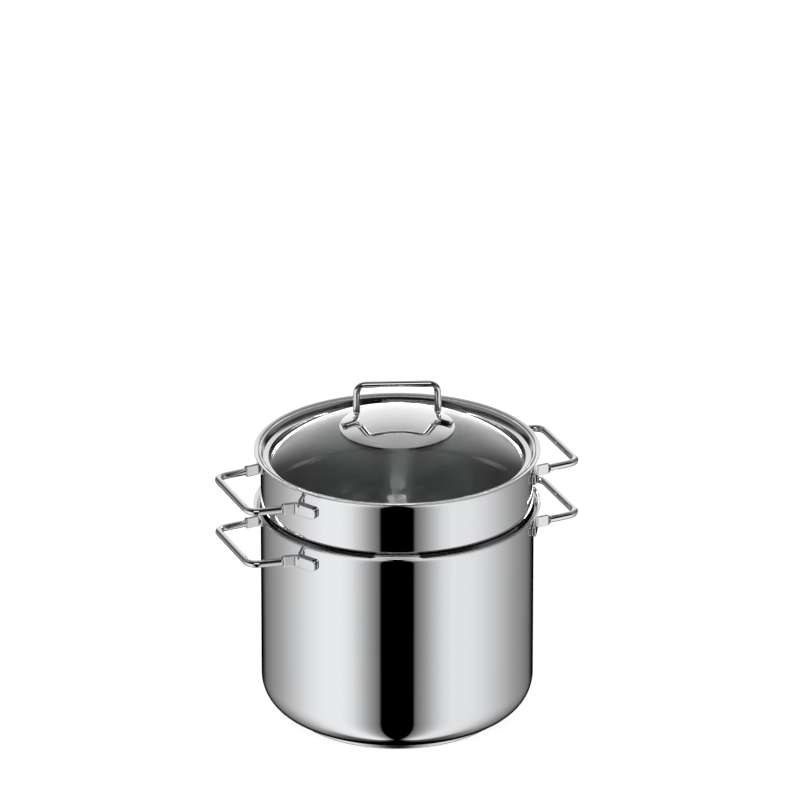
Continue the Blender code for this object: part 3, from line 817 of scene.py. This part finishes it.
# %% Rolling the sheet up
BLANK_DIRECTION = math.radians(-111.5)
GROUP_TURN = BLANK_DIRECTION + math.pi / GROUPS

apply_modifier(
    insert_wall, "ARRAY", count=GROUPS, use_relative_offset=False,
    use_constant_offset=True, constant_offset_displace=(GROUP_WIDTH, 0.0, 0.0),
    use_merge_vertices=True, merge_threshold=MERGE,
)
for vertex in insert_wall.data.vertices:
    angle = vertex.co.x / OUTER + GROUP_TURN
    vertex.co = (OUTER * math.cos(angle), OUTER * math.sin(angle), vertex.co.y)
pick_only(insert_wall)
edit_mode()
bpy.ops.mesh.select_all(action="SELECT")
bpy.ops.mesh.remove_doubles(threshold=MERGE)
bpy.ops.mesh.normals_make_consistent(inside=False)
edit_mode(False)
sheet_top = max(v.co.z for v in insert_wall.data.vertices)
sheet_foot = min(v.co.z for v in insert_wall.data.vertices)
print("holes reach from", round(sheet_foot / MM, 1), "to", round(sheet_top / MM, 1), "mm")

# %% Growing the rest of the wall from the sheet's edges
def grow(piece, edge_height, section):
    """Extrude the round edge at a height from ring to ring of (radius, height)."""
    pick_vertices(piece, lambda p: abs(p.z - edge_height) < 0.05 * MM)
    radius, height = OUTER, edge_height
    for next_radius, next_height in section:
        bpy.ops.mesh.extrude_edges_move()
        share = next_radius / radius
        bpy.ops.transform.resize(value=(share, share, 1.0), center_override=(0, 0, 0))
        bpy.ops.transform.translate(value=(0.0, 0.0, next_height - height))
        radius, height = next_radius, next_height


step_top = INSERT_RIM - BAND_DEPTH
step_foot = step_top - STEP_HEIGHT
band = POT_RADIUS + WALL
step = []
for index in range(STEP_RINGS + 1):
    share = index / STEP_RINGS
    smooth = share * share * (3 - 2 * share)
    step.append((OUTER + (band - OUTER) * smooth, step_foot + (step_top - step_foot) * share))
lip = (POT_RADIUS + FLARE, INSERT_RIM - FLARE)
upper = (
    [(OUTER, step_foot - 1.0 * MM)] + step
    + [(band, step_top + 1.0 * MM), (band, lip[1] - 1.5 * MM)]
    + arc(lip, FLARE - WALL, 180, LIP_END, 10)
)
grow(insert_wall, sheet_top, upper)

corner_middle = (INSERT_RADIUS - INSERT_CORNER, INSERT_FLOOR + INSERT_CORNER)
lower = (
    [(OUTER, corner_middle[1] + 1.0 * MM)]
    + arc(corner_middle, INSERT_CORNER + WALL, 0, -90, 14)
    + [(corner_middle[0] - 2.0 * MM, INSERT_FLOOR - WALL)]
)
grow(insert_wall, sheet_foot, lower)
bpy.ops.mesh.edge_face_add()
bpy.ops.mesh.select_all(action="SELECT")
bpy.ops.mesh.normals_make_consistent(inside=True)
edit_mode(False)
print("the insert's outer skin has", len(insert_wall.data.polygons), "faces")

# %% Wall thickness, holes of the floor and softened edges
FLOOR_RINGS = 4
FLOOR_RING_PITCH = 26 * MM
PUNCH_DEPTH = 6 * MM
HOLE_EDGE = 0.16 * MM

apply_modifier(insert_wall, "SOLIDIFY", thickness=WALL, offset=-1.0, use_even_offset=True)

start_fresh()
punches = []
for ring in range(FLOOR_RINGS):
    ring_holes = max(1, 6 * ring)
    for index in range(ring_holes):
        angle = 2 * math.pi * index / ring_holes
        reach = ring * FLOOR_RING_PITCH
        spot = (reach * math.cos(angle), reach * math.sin(angle), INSERT_FLOOR)
        bpy.ops.mesh.primitive_cylinder_add(vertices=16, radius=HOLE, depth=PUNCH_DEPTH, location=spot)
        punches.append(bpy.context.object)
print("holes in the floor:", len(punches))
pick_only(*punches)
bpy.ops.object.join()
punch = bpy.context.object
apply_modifier(insert_wall, "BOOLEAN", object=punch, operation="DIFFERENCE", solver="EXACT")
bpy.data.objects.remove(punch)
apply_modifier(
    insert_wall, "BEVEL", width=HOLE_EDGE, segments=1, limit_method="ANGLE",
    angle_limit=math.radians(60), use_clamp_overlap=True,
)
finish_piece(insert_wall, "insert_body", "insert", sharp=50.0)

# %% [markdown]
# ## The insert's foot ring
#
# A plain ring is welded under the insert, and it is what the insert stands on in the pot's rounded
# corner. It narrows a little towards its lower edge, and both of its edges are softened.

# %% Foot ring
RING_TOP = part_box("insert_foot_ring")[1].z
RING_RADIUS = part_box("insert_foot_ring")[1].x
RING_TAPER = 1.6 * MM
RING_ROUNDING = 9.0 * MM
RING_EDGE = 0.4 * MM


def ring_radius(height):
    share = max(0.0, 1 - (height - INSERT_FOOT) / RING_ROUNDING)
    return RING_RADIUS - RING_TAPER * share ** 1.5


ring_foot = INSERT_FOOT + RING_EDGE
ring_heights = [ring_foot + (RING_ROUNDING - RING_EDGE) * step / 8 for step in range(9)]
ring_heights += [INSERT_FOOT + 11 * MM, RING_TOP - 1.5 * MM, RING_TOP - RING_EDGE]
ring_outside = [(ring_radius(height), height) for height in ring_heights]
ring_inside = [(radius - WALL, height) for radius, height in ring_outside]
ring_section = (
    ring_outside
    + rolled_edge(ring_inside[-1], ring_outside[-1])
    + ring_inside[::-1]
    + rolled_edge(ring_outside[0], ring_inside[0])
)
foot_ring = lathe("foot_ring", ring_section, FINE)
finish_piece(foot_ring, "insert_foot_ring", "insert")

# %% [markdown]
# ## The lid
#
# The lid is a glass dome held in a thin steel rim. The rim's lip curves out over the insert's
# mouth, and its skirt goes down inside and folds round the glass. In the middle, where the handle
# is fixed, a domed steel disc covers the hole through the glass. Both domes are parts of spheres.

# %% Lid rim
LIP_RADIUS = 122.0 * MM
SKIRT = 118.2 * MM
SKIRT_DEPTH = 13.54 * MM
GLASS_RADIUS = 115.0 * MM
GLASS_EDGE = 5.97 * MM
CHANNEL = 115.4 * MM
FLANGE = 113.6 * MM


def on_lid(points):
    """Heights that are given below the plane of the lip, as heights in the model."""
    return [(radius, LIP_PLANE + height) for radius, height in points]


flare_middle = (LIP_RADIUS + 5.2 * MM, -7.8 * MM)
lip_end = (LIP_RADIUS, -0.5 * MM)
lip_arc = arc(flare_middle, 9.0 * MM, 124, 178, 10)
bead = [
    (SKIRT + 0.02 * MM, -8.9 * MM),
    (SKIRT + 0.30 * MM, -9.15 * MM),
    (SKIRT + 0.40 * MM, -9.5 * MM),
    (SKIRT + 0.30 * MM, -9.85 * MM),
    (SKIRT, -10.1 * MM),
]
rim_outside = (
    [(LIP_RADIUS - 0.45 * MM, 0.0), (LIP_RADIUS - 0.12 * MM, -0.12 * MM), lip_end]
    + lip_arc + bead
    + [(SKIRT, -10.6 * MM), (SKIRT, -12.9 * MM)]
)
rim_under = arc((SKIRT - 0.5 * MM, -SKIRT_DEPTH + 0.5 * MM), 0.5 * MM, 0, -90, 4)
glass_under = -GLASS_EDGE - 6.4 * MM
rim_channel = [
    (FLANGE + 0.4 * MM, -SKIRT_DEPTH),
    (FLANGE, -SKIRT_DEPTH + 0.4 * MM),
    (FLANGE, glass_under - 0.35 * MM),
    (FLANGE + 0.2 * MM, glass_under),
    (CHANNEL, glass_under),
    (CHANNEL, -GLASS_EDGE - 0.6 * MM),
    (FLANGE + 0.15 * MM, -GLASS_EDGE - 0.6 * MM),
    (FLANGE, -GLASS_EDGE - 0.4 * MM),
    (FLANGE + 0.1 * MM, -GLASS_EDGE - 0.1 * MM),
    (FLANGE + 0.5 * MM, -GLASS_EDGE),
    (SKIRT - 0.6 * MM, -GLASS_EDGE),
    (SKIRT - 0.1 * MM, -GLASS_EDGE + 0.25 * MM),
    (SKIRT + 0.1 * MM, -GLASS_EDGE + 1.2 * MM),
    (SKIRT + 0.5 * MM, -2.2 * MM),
    (LIP_RADIUS - 1.8 * MM, -0.7 * MM),
    (LIP_RADIUS - 0.9 * MM, -0.12 * MM),
]
lid_rim = lathe("lid_ring", on_lid(rim_outside + rim_under + rim_channel), FINE)
finish_piece(lid_rim, "lid_rim", "lid")

# %% Glass dome
GLASS_SPHERE = 206.43 * MM
GLASS_CENTRE = -179.23 * MM
GLASS_THICKNESS = 4.0 * MM
GLASS_HOLE = 4.5 * MM


def sphere_height(radius, sphere, centre):
    return centre + math.sqrt(sphere ** 2 - radius ** 2)


def dome(inner, outer, sphere, centre, steps):
    """Points along a part of a sphere, evenly spread outward from the axis."""
    radii = [inner + (outer - inner) * step / steps for step in range(steps + 1)]
    return [(radius, sphere_height(radius, sphere, centre)) for radius in radii]


EDGE_ROUND = 0.9 * MM
GLASS_STEPS = 44
glass_span = (GLASS_HOLE + EDGE_ROUND, GLASS_RADIUS - EDGE_ROUND)
glass_top = dome(*glass_span, GLASS_SPHERE, GLASS_CENTRE, GLASS_STEPS)
glass_bottom = dome(*glass_span, GLASS_SPHERE - GLASS_THICKNESS, GLASS_CENTRE, GLASS_STEPS)
outer_side = [
    (GLASS_RADIUS - 0.3 * MM, glass_top[-1][1] - 0.8 * MM),
    (GLASS_RADIUS, glass_top[-1][1] - 1.6 * MM),
    (GLASS_RADIUS, glass_bottom[-1][1] + 0.8 * MM),
    (GLASS_RADIUS - 0.3 * MM, glass_bottom[-1][1] + 0.3 * MM),
]
inner_side = [
    (GLASS_HOLE, glass_bottom[0][1] + EDGE_ROUND),
    (GLASS_HOLE, glass_top[0][1] - EDGE_ROUND),
]
glass_section = on_lid(glass_top + outer_side + glass_bottom[::-1] + inner_side)
glass_dome = lathe("glass_dome", glass_section, LID_FINE)
finish_piece(glass_dome, "lid_glass", "lid")

# %% Steel disc in the middle of the lid
DISC_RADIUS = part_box("lid_disc")[1].x
DISC_SHEET = 1.0 * MM
DISC_SPHERE = 135.05 * MM
DISC_CENTRE = -102.95 * MM
DISC_STEPS = 26
disc_reach = DISC_RADIUS - DISC_SHEET / 2
disc_top = on_lid(dome(0.0, disc_reach, DISC_SPHERE, DISC_CENTRE, DISC_STEPS))
disc_under = on_lid(dome(0.0, disc_reach, DISC_SPHERE - DISC_SHEET, DISC_CENTRE, DISC_STEPS))
disc_section = disc_top + rolled_edge(disc_under[-1], disc_top[-1]) + disc_under[::-1]
disc = lathe("centre_disc", disc_section, LID_FINE, closed=False)
finish_piece(disc, "lid_disc", "lid")

# %% [markdown]
# ## The lid's handle and what holds the lid together
#
# The lid's handle is bent from a thinner rod, with its ends pressed flat and bent outwards to lie on
# the disc. Under the glass a stud, two seals, a washer and a nut clamp the disc. The nut gets its
# chamfered corners here, and the seals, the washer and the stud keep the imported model's shape.

# %% Lid handle
LID_TURN = math.radians(-18.9)
LID_ROD = 6.0 * MM
LID_FOOT_THICKNESS = 3.0 * MM
LID_FOOT_WIDTH = 9.0 * MM
LID_SLOPE = math.radians(18.41)
LID_FOOT_MIDDLE = 42.65 * MM
LID_FOOT_REACH = 49.6 * MM
LID_LEG = 35.7 * MM
LID_KNEE_BEND = 5.0 * MM
LID_CORNER_BEND = 8.0 * MM
LID_FLAT_PAST_KNEE = 3.5 * MM

disc_height = LIP_PLANE + sphere_height(LID_FOOT_MIDDLE, DISC_SPHERE, DISC_CENTRE)
surface = Vector((LID_FOOT_MIDDLE, disc_height))
down_slope = Vector((math.cos(LID_SLOPE), -math.sin(LID_SLOPE)))
off_slope = Vector((math.sin(LID_SLOPE), math.cos(LID_SLOPE)))
on_foot = surface + off_slope * (LID_FOOT_THICKNESS / 2 + WELD_GAP)
bar_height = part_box("lid_handle")[1].z - LID_ROD / 2
tip = on_foot + down_slope * ((LID_FOOT_REACH - on_foot.x) / down_slope.x)
knee = on_foot + down_slope * ((LID_LEG - on_foot.x) / down_slope.x)
half = bent_path([
    (tip, 0.0),
    (knee, LID_KNEE_BEND),
    (Vector((LID_LEG, bar_height)), LID_CORNER_BEND),
    (Vector((0.0, bar_height)), 0.0),
])
lid_path = dense(half + [Vector((-point.x, point.y)) for point in half[-2::-1]])
lid_flat = (tip - knee).length + LID_FLAT_PAST_KNEE
lid_grip = pressed_bar(
    "lid_grip", path_length(lid_path), lid_flat, LID_ROD, LID_FOOT_THICKNESS, LID_FOOT_WIDTH
)
bend_along(lid_grip, lid_path)
lid_grip.matrix_world = Matrix.Rotation(LID_TURN, 4, "Z") @ Matrix.Rotation(math.pi / 2, 4, "X")
finish_piece(lid_grip, "lid_handle", "lid", sharp=50.0)

# %% Nut
BORE_GAP = 0.15 * MM
BORE_DEPTH = 20 * MM
NUT_CHAMFER = 0.5 * MM

nut_low, nut_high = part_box("lid_nut")
start_fresh()
bpy.ops.mesh.primitive_cylinder_add(
    vertices=6, radius=(nut_high.x - nut_low.x) / 2, depth=nut_high.z - nut_low.z,
    location=(0, 0, (nut_high.z + nut_low.z) / 2), end_fill_type="NGON",
)
nut = bpy.context.object
nut.name = nut.data.name = "clamp_nut"
start_fresh()
bpy.ops.mesh.primitive_cylinder_add(
    vertices=48, radius=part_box("lid_stud")[1].x + BORE_GAP, depth=BORE_DEPTH, location=nut.location
)
bore = bpy.context.object
apply_modifier(nut, "BOOLEAN", object=bore, operation="DIFFERENCE", solver="EXACT")
bpy.data.objects.remove(bore)
apply_modifier(
    nut, "BEVEL", width=NUT_CHAMFER, segments=2, limit_method="ANGLE",
    angle_limit=math.radians(50),
)
finish_piece(nut, "lid_nut", "lid", sharp=40.0)

# %% [markdown]
# ## Materials
#
# Every finish is worked out from the place on the object, so nothing has to be unwrapped. The
# polished steel is nearly a mirror, with a faint unevenness left by the press. The inside of the
# pot and of the insert is satin, with fine streaks up the wall, because the polishing wheel does
# not reach it. The base is turned on a lathe, so its marks are rings.

# %% Finding a place on the object
def new_material(name, colour, roughness, metallic):
    material = bpy.data.materials.new(name)
    tree = Tree(material)
    shader = tree.nodes["Principled BSDF"]
    tree.put(shader.inputs["Base Color"], colour)
    tree.put(shader.inputs["Roughness"], roughness)
    tree.put(shader.inputs["Metallic"], metallic)
    return material, tree, shader


def object_place(tree):
    """Object coordinates, which stay with the piece when it moves."""
    return tree.add("ShaderNodeTexCoord", output=3)


def round_place(tree, at):
    """The same place as a distance from the axis, an angle round it and a height."""
    split = tree.add("ShaderNodeSeparateXYZ", inputs={0: at})
    x, y, z = (split.other(name) for name in "XYZ")
    return (x * x + y * y).root(), y.arc_tangent(x), z


def vector(tree, x, y, z):
    return tree.add("ShaderNodeCombineXYZ", inputs={0: x, 1: y, 2: z})


def noise(tree, at, scale, detail=2.0):
    return tree.add("ShaderNodeTexNoise", inputs={"Vector": at, "Scale": scale, "Detail": detail})


def bump(tree, shader, height, strength, distance):
    inputs = {"Strength": strength, "Distance": distance, "Height": height}
    tree.put(shader.inputs["Normal"], tree.add("ShaderNodeBump", inputs=inputs))


# %% Polished steel
STEEL = (0.72, 0.725, 0.735)
STEEL_ROUGHNESS = 0.04
SMOOTHEST = 0.02
UNEVENNESS = 0.03
UNEVEN_SCALE = 60.0


def mirror_gloss(tree, at):
    """Roughness of a mirror finish with a faint unevenness."""
    return SMOOTHEST + noise(tree, at, UNEVEN_SCALE) * UNEVENNESS


def polished_steel(name):
    material, tree, shader = new_material(name, STEEL, STEEL_ROUGHNESS, 1.0)
    tree.put(shader.inputs["Roughness"], mirror_gloss(tree, object_place(tree)))
    return material


bar_steel = polished_steel("bar_steel")
print("finish of handles, rings and disc:", bar_steel.name)

# %% Steel of the pot and of the insert
DIMPLE = 0.08 * MM
GROUP_ANGLE = 2 * math.pi / GROUPS
POT_SATIN = 0.09
INSERT_SATIN = 0.07
POLISHED_RIM = 4 * MM
STREAKS_ROUND = 70.0
STREAKS_OUTWARD = 40.0
STREAKS_UPWARD = 8.0


def dimples(tree, angle, height):
    """Shallow waves that the punch leaves: low at each hole, high between the holes."""
    column = ((angle - GROUP_TURN) / GROUP_ANGLE).nearest() * GROUP_ANGLE
    across = (angle - GROUP_TURN - column) * (math.pi / COLUMN_ANGLE)
    up = (height - TOP_ROW) * (math.pi / CELL_HEIGHT)
    rows = height.step(sheet_foot, sheet_foot + CELL_HEIGHT / 2)
    rows = rows * (1 - height.step(sheet_top - CELL_HEIGHT / 2, sheet_top))
    return across.cosine() * up.cosine() * rows * -1.0


def vessel_steel(name, wall, corner, floor, rim, satin, punched=False):
    """Mirror outside, and inside of the wall a satin finish whose grain blurs reflections upright.

    The inside is what lies nearer to the axis, and to the middle of the corner's arc, than the wall.
    """
    material, tree, shader = new_material(name, STEEL, STEEL_ROUGHNESS, 1.0)
    shader.inputs["Anisotropic"].default_value = 1.0
    shader.inputs["Anisotropic Rotation"].default_value = 0.25
    at = object_place(tree)
    radius, angle, height = round_place(tree, at)
    beyond = (radius - (wall - corner)).most(0.0)
    under = ((floor + corner) - height).most(0.0)
    from_corner = (beyond * beyond + under * under).root()
    within = 1 - from_corner.step(corner + 0.3 * MM, corner + 0.5 * MM)
    within = within * (1 - height.step(rim - POLISHED_RIM, rim))
    grain = vector(tree, angle * STREAKS_ROUND, radius * STREAKS_OUTWARD, height * STREAKS_UPWARD)
    streaks = noise(tree, grain, 1.0, 3.0)
    inner = within * satin * (0.75 + streaks * 0.5)
    tree.put(shader.inputs["Roughness"], mirror_gloss(tree, at) + inner)
    if punched:
        bump(tree, shader, dimples(tree, angle, height), 1.0, DIMPLE)
    return material


pot_steel = vessel_steel("pot_steel", POT_RADIUS, POT_CORNER, POT_FLOOR, POT_HEIGHT, POT_SATIN)
insert_steel = vessel_steel(
    "insert_steel", INSERT_RADIUS, INSERT_CORNER, INSERT_FLOOR, INSERT_RIM, INSERT_SATIN, punched=True
)
print("finishes of the vessels:", pot_steel.name, insert_steel.name)

# %% Turned metal
FINE_RELIEF = 0.2 * MM
RINGS_OUTWARD = 1800.0
RINGS_ROUND = 0.4
RINGS_UPWARD = 900.0
RING_CONTRAST = 0.2
RING_RELIEF = 0.10


def turned_steel(name, tint, roughness):
    """Fine rings round the axis, as a lathe leaves them."""
    material, tree, shader = new_material(name, tint, roughness, 1.0)
    radius, angle, height = round_place(tree, object_place(tree))
    grain = vector(tree, radius * RINGS_OUTWARD, angle * RINGS_ROUND, height * RINGS_UPWARD)
    rings = noise(tree, grain, 1.0, 3.0)
    tree.put(shader.inputs["Roughness"], roughness + (rings - 0.5) * RING_CONTRAST)
    bump(tree, shader, rings, RING_RELIEF, FINE_RELIEF)
    return material


base_steel = turned_steel("base_steel", (0.66, 0.66, 0.67), 0.24)
fastener_steel = turned_steel("fastener_steel", (0.62, 0.62, 0.63), 0.30)
aluminium = turned_steel("core_aluminium", (0.80, 0.80, 0.81), 0.38)
print("turned finishes:", base_steel.name, fastener_steel.name, aluminium.name)

# %% Glass and silicone
GLASS_TINT = (0.85, 0.87, 0.865)
SILICONE_GREY = (0.50, 0.51, 0.52)

glass, tree, shader = new_material("clear_glass", GLASS_TINT, 0.0, 0.0)
shader.inputs["Transmission Weight"].default_value = 1.0
shader.inputs["IOR"].default_value = 1.5
tree.put(shader.inputs["Roughness"], noise(tree, object_place(tree), 90.0) * 0.012)

silicone, tree, shader = new_material("silicone", SILICONE_GREY, 0.6, 0.0)
grain = noise(tree, object_place(tree), 900.0)
tree.put(shader.inputs["Roughness"], 0.55 + grain * 0.2)
bump(tree, shader, grain, 0.15, FINE_RELIEF)
print("finishes of glass and seals:", glass.name, silicone.name)

# %% Dressing the pieces
def dress(material, *things):
    for thing in things:
        thing.data.materials.clear()
        thing.data.materials.append(material)
        print(thing.name, "is", material.name)


cad = bpy.data.objects
dress(pot_steel, pot_shell)
dress(insert_steel, insert_wall)
dress(bar_steel, *pot_handles, *insert_handles, foot_ring, lid_rim, disc, lid_grip)
dress(base_steel, base_cap)
dress(fastener_steel, nut, cad["lid_washer"], cad["lid_stud"])
dress(glass, glass_dome)
dress(aluminium, cad["pot_base_core"])
dress(silicone, cad["lid_disc_seal"], cad["lid_under_seal"])

# %% [markdown]
# ## Floor
#
# The pot stands on a plain white floor that fades into the white behind it, because it also glows.
# Mirrors don't see the floor: the studio painted on the world holds what they show.

# %% Floor
FLOOR_SIZE = 30.0
FLOOR_GREY = (0.9, 0.9, 0.9)
FLOOR_GLOW = 0.76

start_fresh()
bpy.ops.mesh.primitive_plane_add(size=FLOOR_SIZE, location=(0, 0, 0))
floor = bpy.context.object
floor.name = floor.data.name = "floor"
floor_material, tree, shader = new_material("floor", FLOOR_GREY, 0.9, 0.0)
tree.put(shader.inputs["Emission Color"], WHITE)
tree.put(shader.inputs["Emission Strength"], FLOOR_GLOW)
dress(floor_material, floor)
floor.visible_glossy = False
